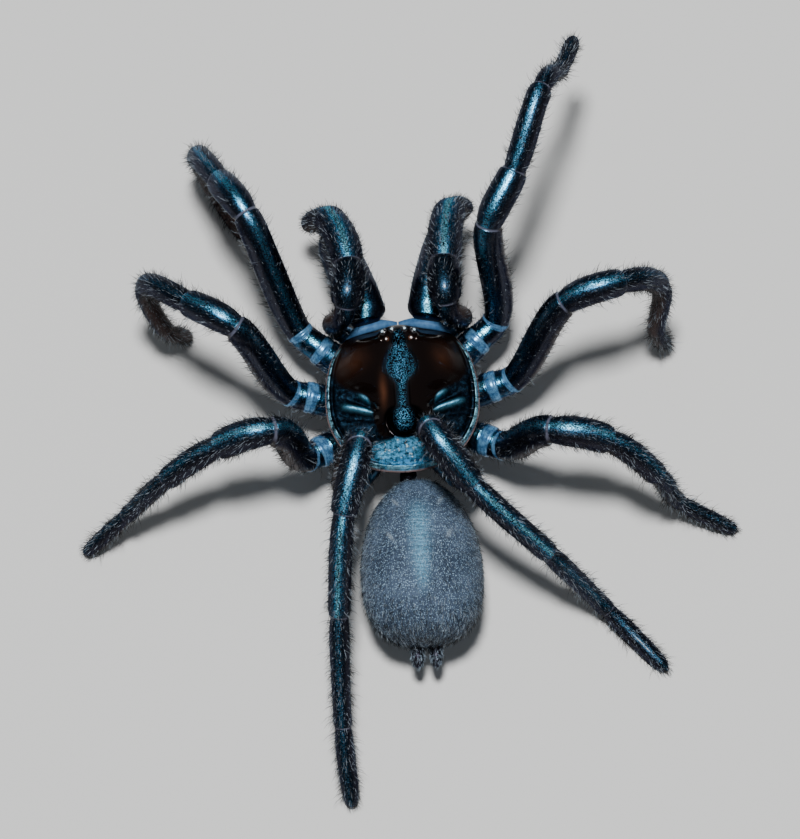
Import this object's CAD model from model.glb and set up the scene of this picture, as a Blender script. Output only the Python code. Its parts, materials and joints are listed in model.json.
# %% [markdown]
# # A funnel-web spider, dressed for the camera
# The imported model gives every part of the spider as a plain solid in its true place.
# This lesson lays the living surface over those solids: hard glossy cuticle, soft joint
# membranes, glassy eyes and bristles. Lengths in this file are in millimetres, because a
# spider is small, and they turn into Blender's metres only where a mesh is made.

# %% Load the model and the tools
import json
import math

import bpy
import numpy as np
from mathutils import Matrix, Vector

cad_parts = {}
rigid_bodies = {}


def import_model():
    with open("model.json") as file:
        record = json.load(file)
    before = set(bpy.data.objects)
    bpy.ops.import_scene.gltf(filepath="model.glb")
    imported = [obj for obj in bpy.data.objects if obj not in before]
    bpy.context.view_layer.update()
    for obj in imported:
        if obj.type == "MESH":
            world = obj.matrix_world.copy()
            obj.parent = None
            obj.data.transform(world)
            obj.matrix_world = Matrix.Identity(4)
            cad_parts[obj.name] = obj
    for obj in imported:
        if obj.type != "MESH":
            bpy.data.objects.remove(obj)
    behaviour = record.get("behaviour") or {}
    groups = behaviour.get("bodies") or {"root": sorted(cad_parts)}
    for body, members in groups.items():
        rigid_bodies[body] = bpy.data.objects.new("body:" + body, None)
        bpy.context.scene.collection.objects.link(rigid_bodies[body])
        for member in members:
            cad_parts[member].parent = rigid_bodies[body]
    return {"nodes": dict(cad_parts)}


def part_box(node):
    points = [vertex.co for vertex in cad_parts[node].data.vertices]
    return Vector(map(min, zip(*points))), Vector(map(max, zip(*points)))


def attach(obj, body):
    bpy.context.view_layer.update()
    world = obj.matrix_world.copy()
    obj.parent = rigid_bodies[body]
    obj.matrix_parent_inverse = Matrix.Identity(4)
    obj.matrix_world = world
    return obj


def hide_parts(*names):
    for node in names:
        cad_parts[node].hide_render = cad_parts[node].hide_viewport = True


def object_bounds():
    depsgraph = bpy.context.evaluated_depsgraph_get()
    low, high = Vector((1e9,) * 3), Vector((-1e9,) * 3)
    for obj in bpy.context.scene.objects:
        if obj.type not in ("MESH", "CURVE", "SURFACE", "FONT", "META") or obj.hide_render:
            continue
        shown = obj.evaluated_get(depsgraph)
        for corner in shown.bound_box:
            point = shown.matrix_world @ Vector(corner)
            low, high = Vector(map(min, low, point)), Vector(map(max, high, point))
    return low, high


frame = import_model()
CAD_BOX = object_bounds()
MM = 0.001
SEED = 11
CHANCE = np.random.default_rng(SEED)
print("The solids fill a box of", [round((b - a) / MM, 1) for a, b in zip(*CAD_BOX)], "mm")

# %% [markdown]
# ## Camera
# The photograph looks down on the spider's back from behind, 70 degrees above the floor.
# A long lens from a quarter of a metre away keeps the near and far legs in proportion.
# The aim is set from the carapace, because that plate is at the middle of the picture.

# %% Set up the camera
VIEW_RISE = 70.0
VIEW_ROLL = -3.5
VIEW_DISTANCE = 250.0
VIEW_LENS = 185.6
SENSOR_WIDTH = 36
NEAREST_SEEN = 10.0
AIM_FROM_CARAPACE = (-0.204, 0.652)


def node_box(node):
    """The lowest and highest corner of a node, in millimetres."""
    low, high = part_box(node)
    return np.array(low) / MM, np.array(high) / MM


def unit(vector):
    """Vectors of length one, along the last axis."""
    vector = np.asarray(vector, dtype=float)
    return vector / np.maximum(np.linalg.norm(vector, axis=-1, keepdims=True), 1e-9)


def add_object(name, data):
    """Put a new object in the scene."""
    made = bpy.data.objects.new(name, data)
    bpy.context.scene.collection.objects.link(made)
    return made


low, high = node_box("carapace")
middle = (low + high) / 2
aim = Vector((middle[0] + AIM_FROM_CARAPACE[0], middle[1] + AIM_FROM_CARAPACE[1], 0))
rise = math.radians(VIEW_RISE)
looking = Vector((0, math.cos(rise), -math.sin(rise)))
camera = add_object("camera", bpy.data.cameras.new("camera"))
camera.data.lens = VIEW_LENS
camera.data.sensor_width = SENSOR_WIDTH
camera.data.clip_start = NEAREST_SEEN * MM
camera.location = (aim - looking * VIEW_DISTANCE) * MM
turn = looking.to_track_quat("-Z", "Y").to_matrix().to_4x4()
roll = Matrix.Rotation(math.radians(VIEW_ROLL), 4, "Z")
camera.rotation_euler = (turn @ roll).to_euler()
bpy.context.scene.camera = camera
print("The camera looks down by", VIEW_RISE, "degrees from", VIEW_DISTANCE, "mm")

# %% [markdown]
# ## Shader maths
# A material is a small sum: so much of one colour where a mask is high, another where it
# is low. `Link` wraps one socket, so that such a sum reads like ordinary Python, and each
# sign adds the node that does it. `Finish` is the material that the nodes go in.

# %% Write shader maths as Python
class Link:
    """A value or colour on its way through a material."""

    def __init__(self, finish, socket):
        self.finish = finish
        self.socket = socket

    def math(self, operation, first, second=0.0, clamp=False):
        settings = {"operation": operation, "use_clamp": clamp}
        return self.finish.node("ShaderNodeMath", settings, {0: first, 1: second})

    def __add__(self, other):
        return self.math("ADD", self, other)

    def __sub__(self, other):
        return self.math("SUBTRACT", self, other)

    def __rsub__(self, other):
        return self.math("SUBTRACT", other, self)

    def __mul__(self, other):
        return self.math("MULTIPLY", self, other)

    def __pow__(self, other):
        return self.math("POWER", self, other)

    def held(self):
        """The same value, held between 0 and 1."""
        return self.math("ADD", self, 0.0, clamp=True)

    def step(self, start, end):
        """A smooth step from 0 at start to 1 at end."""
        return self.finish.node(
            "ShaderNodeMapRange",
            {"interpolation_type": "SMOOTHSTEP"},
            {"Value": self, "From Min": start, "From Max": end},
        )

    __radd__ = __add__
    __rmul__ = __mul__


class Finish:
    """A material with one surface shader, and the nodes that drive it."""

    def __init__(self, name, **constants):
        self.material = bpy.data.materials.new(name)
        self.material.use_nodes = True
        self.tree = self.material.node_tree
        self.shader = self.tree.nodes["Principled BSDF"]
        for socket, value in constants.items():
            self.shader.inputs[socket.replace("_", " ")].default_value = value

    def node(self, kind, settings=None, inputs=None, output=0):
        """Add a node: its settings first, then a value or a link for each named socket."""
        made = self.tree.nodes.new(kind)
        for name, value in (settings or {}).items():
            setattr(made, name, value)
        for name, value in (inputs or {}).items():
            if isinstance(value, Link):
                self.tree.links.new(value.socket, made.inputs[name])
            else:
                made.inputs[name].default_value = value
        return Link(self, made.outputs[output])

    def mark(self, name):
        """A mask that the mesh carries at its points."""
        return self.node("ShaderNodeAttribute", {"attribute_name": name}, output=2)

    def marks(self, *names):
        """Several masks at once."""
        return [self.mark(name) for name in names]

    def place(self):
        """The place on the object, in metres."""
        return self.node("ShaderNodeTexCoord", output=3)

    def noise(self, size, detail=3.0, roughness=0.5):
        """Soft random variation with features of a size in millimetres."""
        inputs = {"Vector": self.place(), "Scale": 1 / (size * MM), "Detail": detail, "Roughness": roughness}
        return self.node("ShaderNodeTexNoise", None, inputs)

    def grains(self, size, randomness=1.0):
        """The distance to the nearest of many scattered grains of a size in millimetres."""
        inputs = {"Vector": self.place(), "Scale": 1 / (size * MM), "Randomness": randomness}
        return self.node("ShaderNodeTexVoronoi", None, inputs)

    def mix(self, share, first, second):
        """A blend of two colours."""
        colours = [value if isinstance(value, Link) else (*value, 1.0) for value in (first, second)]
        inputs = {0: share, 6: colours[0], 7: colours[1]}
        return self.node("ShaderNodeMix", {"data_type": "RGBA"}, inputs, output=2)

    def blend(self, share, first, second):
        """A blend of two numbers."""
        return self.node("ShaderNodeMix", None, {0: share, 2: first, 3: second})

    def relief(self, height, depth, strength=1.0):
        """Bumps of a depth in millimetres, for the shader's normal."""
        inputs = {"Height": height, "Distance": depth * MM, "Strength": strength}
        return self.node("ShaderNodeBump", None, inputs)

    def drive(self, **links):
        """Feed links into the shader's sockets."""
        for socket, link in links.items():
            self.tree.links.new(link.socket, self.shader.inputs[socket.replace("_", " ")])
        return self.material


print("Shader tools ready")

# %% [markdown]
# ## Cuticle
# The spider's armour is black-brown, and its thin outer layer throws back blue-green light.
# A metallic blue on the upper side does that: it gleams in the lamp's reflection, broken up
# by fine relief, and the sides stay black. A thin line along the crest is painted brighter,
# because a tilted tube throws the lamp's own reflection past the camera. Bristle sockets
# roughen the cuticle, and the undersides show brown. The same material carries the blue
# skin of the hips and the joints' seams.

# %% Mix the cuticle
NEAR_BLACK = (0.004, 0.004, 0.007)
DEEP_BLUE = (0.042, 0.14, 0.25)
GLEAM_BLUE = (0.16, 0.56, 0.95)
GLEAM_PALE = (0.27, 0.8, 1.0)
HIP_BLUE = (0.03, 0.11, 0.2)
SIDE_BLACK = (0.03, 0.027, 0.04)
SPECK_PALE = (0.24, 0.28, 0.36)
UNDER_BROWN = (0.045, 0.027, 0.024)
SKIN_BLUE = (0.18, 0.36, 0.56)
SKIN_SHADE = (0.06, 0.15, 0.29)
SEAM_PALE = (0.1, 0.095, 0.13)
SEAM_DARK = (0.014, 0.009, 0.01)


def cuticle_finish():
    """Black cuticle with a blue gleam on top, brown undersides, blue hip skin and seams."""
    finish = Finish(
        "cuticle", Coat_Roughness=0.18, Coat_Tint=(0.6, 0.88, 1.0, 1.0), Coat_IOR=1.4,
        Specular_IOR_Level=0.12, Specular_Tint=(0.15, 0.3, 0.4, 1.0),
    )
    soft, seam, below = finish.marks("soft", "seam", "below")
    hairy, hip, gleam = finish.marks("hairy", "hip", "gleam")
    clouds = finish.noise(0.9, 4.0)
    fine = finish.noise(0.07, 3.0, 0.65)
    pits = finish.grains(0.12)
    hard = (1 - soft) * (1 - seam)
    under = below.step(0.15, 0.5)
    top = 1 - (below + (clouds - 0.5) * 0.1).step(0.01, 0.16)
    brown = (below * 1.15 + (clouds - 0.5) * 0.5).step(0.4, 0.85)
    core = gleam * (1 - (below + (fine - 0.5) * 0.03).step(0.004, 0.042))
    line = gleam**2 * (1 - (below + (clouds - 0.5) * 0.02).step(0.002, 0.014))
    halo = finish.mix((gleam * 0.8 + 0.12).held(), NEAR_BLACK, DEEP_BLUE)
    blue = finish.mix(line, finish.mix(core, halo, GLEAM_BLUE), GLEAM_PALE)
    blue = finish.mix(fine.step(0.4, 0.6), NEAR_BLACK, blue)
    shell = finish.mix(brown, finish.mix(top, SIDE_BLACK, blue), UNDER_BROWN)
    speck = (1 - pits.step(0.06, 0.26)) * (0.2 + hairy * 0.7) * clouds.step(0.32, 0.55) * hard
    shell = finish.mix(speck, shell, SPECK_PALE)
    shell = finish.mix(hip * clouds.step(0.4, 0.65) * (1 - brown), shell, HIP_BLUE)
    skin = finish.mix(finish.noise(0.35, 4.0, 0.65).step(0.38, 0.62), SKIN_SHADE, SKIN_BLUE)
    colour = finish.mix(soft, shell, skin)
    colour = finish.mix(seam, colour, finish.mix(under, SEAM_PALE, SEAM_DARK))
    rough = finish.blend(hairy, 0.28, 0.4) + (fine - 0.5) * 0.2 - soft * 0.02
    coat = finish.blend(hairy, 0.5, 0.18) * (1 - brown) * (1 - under * 0.7)
    sockets = (pits.step(0.12, 0.4) * 0.6 + fine * 0.8) * (0.4 + hairy * 0.6) * hard
    return finish.drive(
        Base_Color=colour,
        Metallic=(1 - seam - soft * 0.5) * (1 - brown * 0.85) * (1 - speck),
        Roughness=rough,
        Coat_Weight=coat + soft * 0.2,
        Normal=finish.relief(sockets + clouds * 0.4, 0.022),
    )


CUTICLE = cuticle_finish()
print("Cuticle nodes:", len(CUTICLE.node_tree.nodes))

# %% [markdown]
# ## Centre lines
# A leg is seven pieces in a row, and its centre line runs through their joints on one
# smooth curve. Stations lie close together at the joints, where the folds of the membrane
# need them. The upper side of the leg is carried along from piece to piece, and turned just
# enough to be level at the knee and again at the hip.

# %% Read smooth curves
def smooth_line(pairs, at):
    """Read a smooth curve through (place, value) pairs at many places."""
    places, values = np.array(sorted(pairs), dtype=float).T
    slopes = np.gradient(values, places)
    at = np.clip(at, places[0], places[-1])
    i = np.clip(np.searchsorted(places, at, side="right") - 1, 0, len(places) - 2)
    width = places[i + 1] - places[i]
    t = (at - places[i]) / width
    return (
        values[i] * (1 + 2 * t) * (1 - t) ** 2
        + values[i + 1] * t**2 * (3 - 2 * t)
        + slopes[i] * width * t * (1 - t) ** 2
        - slopes[i + 1] * width * t**2 * (1 - t)
    )


def smooth_table(rows, places, at):
    """Read a table smoothly, column by column, between the places of its rows."""
    return np.column_stack([smooth_line(list(zip(places, column)), at) for column in np.array(rows).T])


def ease(value, start, end):
    """A smooth step from 0 at start to 1 at end."""
    t = np.clip((value - start) / (end - start), 0, 1)
    return t * t * (3 - 2 * t)


def peak(value, centre, width):
    """A smooth peak of height 1 at a centre."""
    return np.exp(-(((value - centre) / width) ** 2))


print("Half way up a smooth step:", float(ease(np.array(0.5), 0, 1)))

# %% Draw the centre line of a limb
HANDLE_SHARE = 0.36
HANDLE_LIMIT = 1.7
LINE_STEP = 0.14
FOLD_STEP = 0.035
FOLD_REACH = 0.6
UP = np.array([0, 0, 1.0])


def stations(length):
    """Places along a piece, as shares, close together near both of its ends."""
    near = np.arange(0, min(FOLD_REACH, 0.4 * length), FOLD_STEP)
    count = max(3, int((length - 2 * near[-1]) / LINE_STEP))
    between = np.linspace(near[-1], length - near[-1], count)[1:-1]
    return np.concatenate([near, between, length - near[::-1]]) / length


def bezier(a, b, c, d, share):
    """Points on a curve that leaves a towards b and reaches d from c."""
    rest = 1 - share
    return a * rest**3 + 3 * b * share * rest**2 + 3 * c * share**2 * rest + d * share**3


def centre_line(joints):
    """Points through the joints, with the number of their piece and their place on it."""
    runs = unit(np.diff(joints, axis=0))
    tangents = unit(np.vstack([runs[:1], runs[:-1] + runs[1:], runs[-1:]]))
    points, pieces, places = [], [], []
    for i, (a, d) in enumerate(zip(joints, joints[1:])):
        length = np.linalg.norm(d - a)
        handle = min(HANDLE_SHARE * length, HANDLE_LIMIT)
        b = a + tangents[i] * handle
        c = d - tangents[i + 1] * handle
        share = stations(length)
        share = share if i + 2 == len(joints) else share[:-1]
        points.append(bezier(a, b, c, d, share[:, None]))
        pieces.append(np.full(len(share), i))
        places.append(share)
    return np.vstack(points), np.concatenate(pieces), np.concatenate(places)


def upper_side(ahead, start, hip):
    """The upper side of a line, level at a start and at the hip, with the twist between."""
    above = np.zeros_like(ahead)
    above[start] = unit(UP - ahead[start] * ahead[start][2])
    for order in (range(start + 1, len(ahead)), range(start - 1, -1, -1)):
        carried = above[start]
        for i in order:
            carried = unit(carried - ahead[i] * (carried @ ahead[i]))
            above[i] = carried
    aside = np.cross(ahead, above)
    level = UP - ahead[hip] * ahead[hip][2]
    twist = math.atan2(level @ aside[hip], level @ above[hip])
    angle = twist * (1 - ease(np.arange(len(ahead)), hip, start))[:, None]
    return above * np.cos(angle) + aside * np.sin(angle)


print("A piece of 5 mm has", len(stations(5.0)), "stations")

# %% [markdown]
# ## Reading the solids
# Each limb solid is a row of twelve-sided rings. The middle of a joint is half way between
# the facing end rings of two neighbours, so the joints can be measured and needn't be
# written down again. The bent piece of patella and tibia is cut across to find its joint.

# %% Measure points and joints of the solids
RING_SIDES = 12
END_DEPTH = 0.2
GIRTH_PERCENTILE = 90
TROCHANTER_SHARE = {"leg_1": 0.64, "leg_2": 0.71, "leg_3": 0.76, "leg_4": 0.76, "palp": 0.8}
PATELLA_SHARE = {"leg_1": 0.407, "leg_2": 0.419, "leg_3": 0.451, "leg_4": 0.374, "palp": 0.343}


def corners(node):
    """The distinct corner points of a node, in millimetres."""
    mesh = frame["nodes"][node].data
    flat = np.empty(3 * len(mesh.vertices))
    mesh.vertices.foreach_get("co", flat)
    return np.unique(np.round(flat.reshape(-1, 3) / MM, 3), axis=0)


def facing_end(node, neighbour):
    """The middle of the end ring that faces a neighbouring piece."""
    points = corners(node)
    others = corners(neighbour)
    reach = np.linalg.norm(points[:, None] - others[None], axis=2).min(axis=1)
    return points[np.argsort(reach)[:RING_SIDES]].mean(axis=0)


def far_end(node, joint):
    """The middle of the end of a piece that lies away from a joint."""
    points = corners(node)
    reach = (points - joint) @ unit(points.mean(axis=0) - joint)
    return points[reach > reach.max() - END_DEPTH].mean(axis=0)


def cut(node, place, normal):
    """The points where a plane cuts the edges of a node."""
    mesh = frame["nodes"][node].data
    points = np.array([vert.co for vert in mesh.vertices]) / MM
    edges = np.array([edge.vertices for edge in mesh.edges])
    side = (points - place) @ normal
    a, b = edges[side[edges[:, 0]] * side[edges[:, 1]] < 0].T
    share = (side[a] / (side[a] - side[b]))[:, None]
    return points[a] + (points[b] - points[a]) * share


def limb_joints(name, pieces, kind):
    """The joints of a limb from its root to its tip, and the girth of each piece."""
    nodes = [f"{name}_{piece}" for piece in pieces]
    joints = [(facing_end(a, b) + facing_end(b, a)) / 2 for a, b in zip(nodes, nodes[1:])]
    bent = pieces.index("patella_tibia")
    start, end = joints[bent - 1], joints[bent]
    knee = start + (end - start) * PATELLA_SHARE[kind]
    joints.insert(bent, cut(nodes[bent], knee, unit(end - start)).mean(axis=0))
    joints.insert(0, far_end(nodes[0], joints[0]))
    joints.append(far_end(nodes[-1], joints[-1]))
    line, number, _ = centre_line(np.array(joints))
    points = np.vstack([corners(node) for node in nodes])
    reach = np.linalg.norm(points[:, None] - line[None], axis=2)
    owner = number[reach.argmin(axis=1)]
    nearest = reach.min(axis=1)
    girths = [float(np.percentile(nearest[owner == i], GIRTH_PERCENTILE)) for i in range(len(joints) - 1)]
    return np.array(joints), girths


LEG_PIECES = ("coxa", "femur", "patella_tibia", "metatarsus", "tarsus")
PALP_PIECES = ("coxa", "femur", "patella_tibia", "tarsus")
joints, girths = limb_joints("leg_right_1", LEG_PIECES, "leg_1")
lengths = np.linalg.norm(np.diff(joints, axis=0), axis=1)
print("Raised leg:", lengths.round(2), "mm long,", np.round(girths, 2), "mm thick")

# %% [markdown]
# ## Skins from rings
# Most parts of a spider are tubes or domes, so each skin is laid over rings of points. A
# ring list keeps the shape easy to change, and gives every spot two grid numbers, which
# later set the roots of the bristles and the places on their colour map.

# %% Lay a skin over rings
def full_turn(sides):
    """The angles of the corners of a ring."""
    return np.linspace(0, 2 * np.pi, sides, endpoint=False)


def rings_round(line, wide, high, aside, above, sides):
    """Rings round the points of a line, with half sizes aside and above for each ring."""
    turn = full_turn(sides)[None, :, None]
    wide, high = (np.reshape(half, (len(line), -1, 1)) for half in (wide, high))
    aside, above = (np.broadcast_to(way, line.shape)[:, None] for way in (aside, above))
    return line[:, None] + wide * np.sin(turn) * aside + high * np.cos(turn) * above


class Skin:
    """Rings of points, closed at both ends, that turn into one smooth piece."""

    def __init__(self, rings, **marks):
        self.rings = np.asarray(rings, dtype=float)
        self.marks = marks
        self.count, self.sides = self.rings.shape[:2]

    def normals(self):
        """Outward directions at the points of the rings."""
        along = np.gradient(self.rings, axis=0)
        around = np.roll(self.rings, -1, axis=1) - np.roll(self.rings, 1, axis=1)
        normal = unit(np.cross(around, along))
        inward = ((self.rings - self.rings.mean(axis=1, keepdims=True)) * normal).sum() < 0
        return -normal if inward else normal

    def piece(self, name, finish, slot, *replaced):
        """Make the piece, give it its finish and let it ride on the body."""
        middles = np.array([self.rings[0].mean(axis=0), self.rings[-1].mean(axis=0)])
        points = np.vstack([self.rings.reshape(-1, 3), middles])
        k = np.arange(self.sides)
        after = (k + 1) % self.sides
        faces = []
        for a in range(0, (self.count - 1) * self.sides, self.sides):
            b = a + self.sides
            faces.append(np.stack([a + k, a + after, b + after, b + k], axis=1))
        last = (self.count - 1) * self.sides
        top = self.count * self.sides
        caps = np.vstack([
            np.stack([after, k, np.full(self.sides, top)], axis=1),
            np.stack([last + k, last + after, np.full(self.sides, top + 1)], axis=1),
        ])
        made = mesh_piece(name, points, np.vstack(faces).tolist() + caps.tolist(), finish)
        for mark, values in self.marks.items():
            flat = np.broadcast_to(values, (self.count, self.sides)).reshape(-1)
            ends = [flat[:self.sides].mean(), flat[-self.sides:].mean()]
            layer = made.data.attributes.new(mark, "FLOAT", "POINT")
            layer.data.foreach_set("value", np.concatenate([flat, ends]).astype(np.float32))
        if replaced:
            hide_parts(*replaced)
        return made


def mesh_piece(name, points, faces, finish):
    """Make a piece from points in millimetres, with its faces turned outwards."""
    mesh = bpy.data.meshes.new(name)
    mesh.from_pydata((np.asarray(points) * MM).tolist(), [], faces)
    mesh.validate()
    mesh.calc_loop_triangles()
    spots = np.array([vert.co for vert in mesh.vertices])
    spots = spots - spots.mean(axis=0)
    corner = np.array([face.vertices for face in mesh.loop_triangles])
    a, b, c = (spots[corner[:, i]] for i in range(3))
    if np.einsum("ij,ij->", a, np.cross(b, c)) < 0:
        mesh.flip_normals()
    return add_piece(name, mesh, finish)


def add_piece(name, mesh, finish):
    """Put a smooth mesh in the scene, with its finish and its slot, riding on the body."""
    mesh.shade_smooth()
    mesh.materials.append(finish)
    made = add_object(name, mesh)
    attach(made, "root")
    return made


print("Skin tools ready")

# %% [markdown]
# ## Limbs
# A piece of a leg is a stiff tube with a rim at its end. Between two rims lies soft skin:
# at the hips it bulges out in blue bands, and at the knee and beyond only a pale seam shows
# above, while it is wide below, where the joint opens. The skin is one mesh with marks for
# these bands, so no gap can show at a joint.

# %% Name the sizes of a limb
LIMB_SIDES = 36
TROCHANTER_GIRTH = 0.97
JOINT_REACH = 0.5
RIM_HEIGHT = 0.025
RIM_PLACE = 1.22
RIM_WIDTH = 0.2
SOFT_EDGE = (0.8, 1.06)
CREASES = 1.5
CREASE_HEIGHT = 0.012
PIECE_NAMES = ("coxa", "trochanter", "femur", "patella", "tibia", "metatarsus", "tarsus")
GIRTH_LINES = {
    "coxa": ((0, 0.84), (0.2, 0.95), (0.55, 1.04), (0.85, 1.08), (1, 1.04)),
    "trochanter": ((0, 1.0), (0.3, 0.98), (0.7, 0.98), (1, 0.92)),
    "femur": ((0, 0.86), (0.06, 0.88), (0.2, 0.95), (0.42, 1.0), (0.7, 0.97), (0.92, 0.94), (1, 0.88)),
    "patella": ((0, 0.84), (0.15, 0.97), (0.5, 1.04), (0.8, 1.02), (0.94, 0.97), (1, 0.9)),
    "tibia": ((0, 0.88), (0.12, 0.98), (0.4, 1.02), (0.75, 0.98), (0.94, 0.96), (1, 0.88)),
    "metatarsus": ((0, 0.86), (0.1, 0.98), (0.5, 0.98), (0.85, 0.92), (0.95, 0.93), (1, 0.84)),
    "tarsus": ((0, 0.86), (0.12, 0.98), (0.5, 1.02), (0.8, 0.92), (0.92, 0.74), (0.97, 0.5), (1, 0.12)),
}
# Half the width of the soft skin on top, at the sides and below, then how far it bulges.
SOFT_JOINTS = {
    "trochanter": (0.3, 0.25, 0.3, 0.07),
    "femur": (0.37, 0.07, 0.34, 0.05),
    "patella": (0.045, 0.12, 0.45, -0.1),
    "tibia": (0.035, 0.05, 0.22, -0.07),
    "metatarsus": (0.045, 0.14, 0.42, -0.12),
    "tarsus": (0.04, 0.055, 0.16, -0.1),
}
HAIRINESS = {
    "leg_1": (0.1, 0.1, 0.3, 0.3, 0.6, 0.9, 1.0),
    "leg_2": (0.1, 0.1, 0.35, 0.35, 0.7, 0.9, 1.0),
    "leg_3": (0.2, 0.2, 0.6, 0.9, 1.0, 1.0, 1.0),
    "leg_4": (0.2, 0.2, 0.6, 0.9, 1.0, 1.0, 1.0),
    "palp": (0.1, 0.1, 0.5, 0.5, 1.0, 1.0),
}
# How strongly the line along the top of each piece gleams.
GLEAM = {
    "leg_1": (1.0, 1.0, 0.35, 0.65, 0.4, 0.15, 0.1),
    "leg_2": (1.0, 1.0, 0.15, 0.6, 0.12, 0.05, 0.05),
    "leg_3": (1.0, 1.0, 0.35, 0.75, 0.25, 0.1, 0.1),
    "leg_4": (1.0, 1.0, 0.9, 0.7, 1.0, 0.15, 0.1),
    "palp": (0.6, 0.6, 0.15, 0.05, 1.0, 0.5),
}
print("Limb pieces:", ", ".join(PIECE_NAMES))


# %% Shape the skin of a limb
def soft_skin(travel, at, turn, sizes):
    """How soft the skin is near a joint, how far off the joint it is, and its rim."""
    top, side, bottom, _ = sizes
    lean = np.cos(turn)
    half = side + (top - side) * np.clip(lean, 0, None) + (bottom - side) * np.clip(-lean, 0, None)
    off = (travel[:, None] - at) / half[None]
    soft = 1 - ease(abs(off), *SOFT_EDGE)
    rim = peak(abs(off), RIM_PLACE, RIM_WIDTH) * np.minimum(1, half / 0.2)
    return soft, off, rim


def limb_radius(pieces, girths, number, place, travel):
    """The radius at every point of a limb, with masks of its soft skin and its seams."""
    base = np.zeros(len(number))
    for i, piece in enumerate(pieces):
        mine = number == i
        base[mine] = girths[i] * smooth_line(GIRTH_LINES[piece], place[mine])
    radius = np.repeat(base[:, None], LIMB_SIDES, axis=1)
    marks = {"soft": np.zeros(radius.shape), "seam": np.zeros(radius.shape)}
    for i, piece in enumerate(pieces[1:], 1):
        at = travel[np.flatnonzero(number == i)[0]]
        soft, off, rim = soft_skin(travel, at, full_turn(LIMB_SIDES), SOFT_JOINTS[piece])
        mean = base[abs(travel - at) < JOINT_REACH].mean()
        bulge = SOFT_JOINTS[piece][3] * (1 - np.clip(off, -1, 1) ** 2)
        bulge = bulge + CREASE_HEIGHT * np.cos(2 * np.pi * CREASES * off)
        radius = radius * (1 - soft) + soft * mean * (1 + bulge) + rim * RIM_HEIGHT
        mark = marks["soft" if piece in ("trochanter", "femur") else "seam"]
        np.maximum(mark, soft, out=mark)
    return radius, marks


def limb_skin(name, kind, solid_pieces):
    """The skin of a limb, with the direction ahead and the piece number of each ring."""
    joints, girths = limb_joints(name, solid_pieces, kind)
    hinge = joints[0] + (joints[1] - joints[0]) * TROCHANTER_SHARE[kind]
    girths.insert(1, TROCHANTER_GIRTH * girths[0])
    pieces = [piece for piece in PIECE_NAMES if kind != "palp" or piece != "metatarsus"]
    line, number, place = centre_line(np.insert(joints, 1, hinge, axis=0))
    travel = np.concatenate([[0], np.cumsum(np.linalg.norm(np.diff(line, axis=0), axis=1))])
    ahead = unit(np.gradient(line, travel, axis=0))
    start = int(np.flatnonzero(number == pieces.index("patella")).mean())
    hip = int(np.flatnonzero(number == pieces.index("femur"))[0])
    above = upper_side(ahead, start, hip)
    radius, marks = limb_radius(pieces, girths, number, place, travel)
    rings = rings_round(line, radius, radius, np.cross(ahead, above), above, LIMB_SIDES)
    rings[..., 2] = np.maximum(rings[..., 2], 0.0)
    marks["below"] = 0.5 - 0.5 * np.cos(full_turn(LIMB_SIDES))
    marks["hairy"] = np.array(HAIRINESS[kind])[number][:, None]
    marks["gleam"] = np.array(GLEAM[kind])[number][:, None]
    marks["hip"] = (number < 2)[:, None].astype(float)
    skin = Skin(rings, **marks)
    skin.ahead, skin.number = ahead, number
    return skin


# %% Lay the skins of the legs and palps
SIDES = {"left": -1, "right": 1}
LIMBS = {}
for side in SIDES:
    for number in (1, 2, 3, 4):
        LIMBS[f"leg_{side}_{number}"] = f"leg_{number}"
    LIMBS[f"palp_{side}"] = "palp"

SKINS = {}
for name, kind in LIMBS.items():
    solid_pieces = PALP_PIECES if kind == "palp" else LEG_PIECES
    SKINS[name] = limb_skin(name, kind, solid_pieces)
    SKINS[name].piece(f"skin_{name}", CUTICLE, "cuticle", *[f"{name}_{piece}" for piece in solid_pieces])
print("Skins of", len(SKINS), "limbs,", sum(s.count * s.sides for s in SKINS.values()), "points")

# %% [markdown]
# ## Carapace
# The shield over the front body is the glossiest part. Its head is a raised dome, the rest
# fans out in shallow grooves from a short curved pit, and a fine ridge runs along its edge.
# A height for every spot makes such relief easy: each groove is one term of a sum.

# %% Name the sizes of the carapace
BODY = np.array([middle[0], middle[1] + 0.05, 0.0])
SHELL_OUTLINE = (
    (4.25, 0.0), (4.17, 0.8), (4.03, 1.5), (3.9, 2.3), (3.65, 2.9), (3.2, 3.35), (2.2, 3.93),
    (0.6, 4.25), (-1.1, 4.2), (-2.4, 3.72), (-3.4, 2.9), (-4.1, 1.75), (-4.35, 0.0),
)
SHELL_SIDES = 280
SHELL_EDGE_RINGS = 26
SHELL_RINGS = 120
SHELL_CENTRE = 0.3
SHELL_RIM = 5.4
THORAX_TOP = 6.4
CROWN = (
    (4.3, 6.2), (3.5, 7.1), (2.9, 7.55), (2.0, 7.5), (0.6, 7.32), (-1.4, 7.02), (-2.7, 6.65), (-4.4, 5.6),
)
HEAD_EDGE = (
    (4.3, 3.3), (3.0, 3.85), (1.6, 4.05), (0.9, 3.85), (0.4, 3.35), (-0.1, 2.6), (-0.8, 2.25),
    (-1.8, 2.2), (-2.6, 2.0), (-4.4, 1.2),
)
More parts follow.
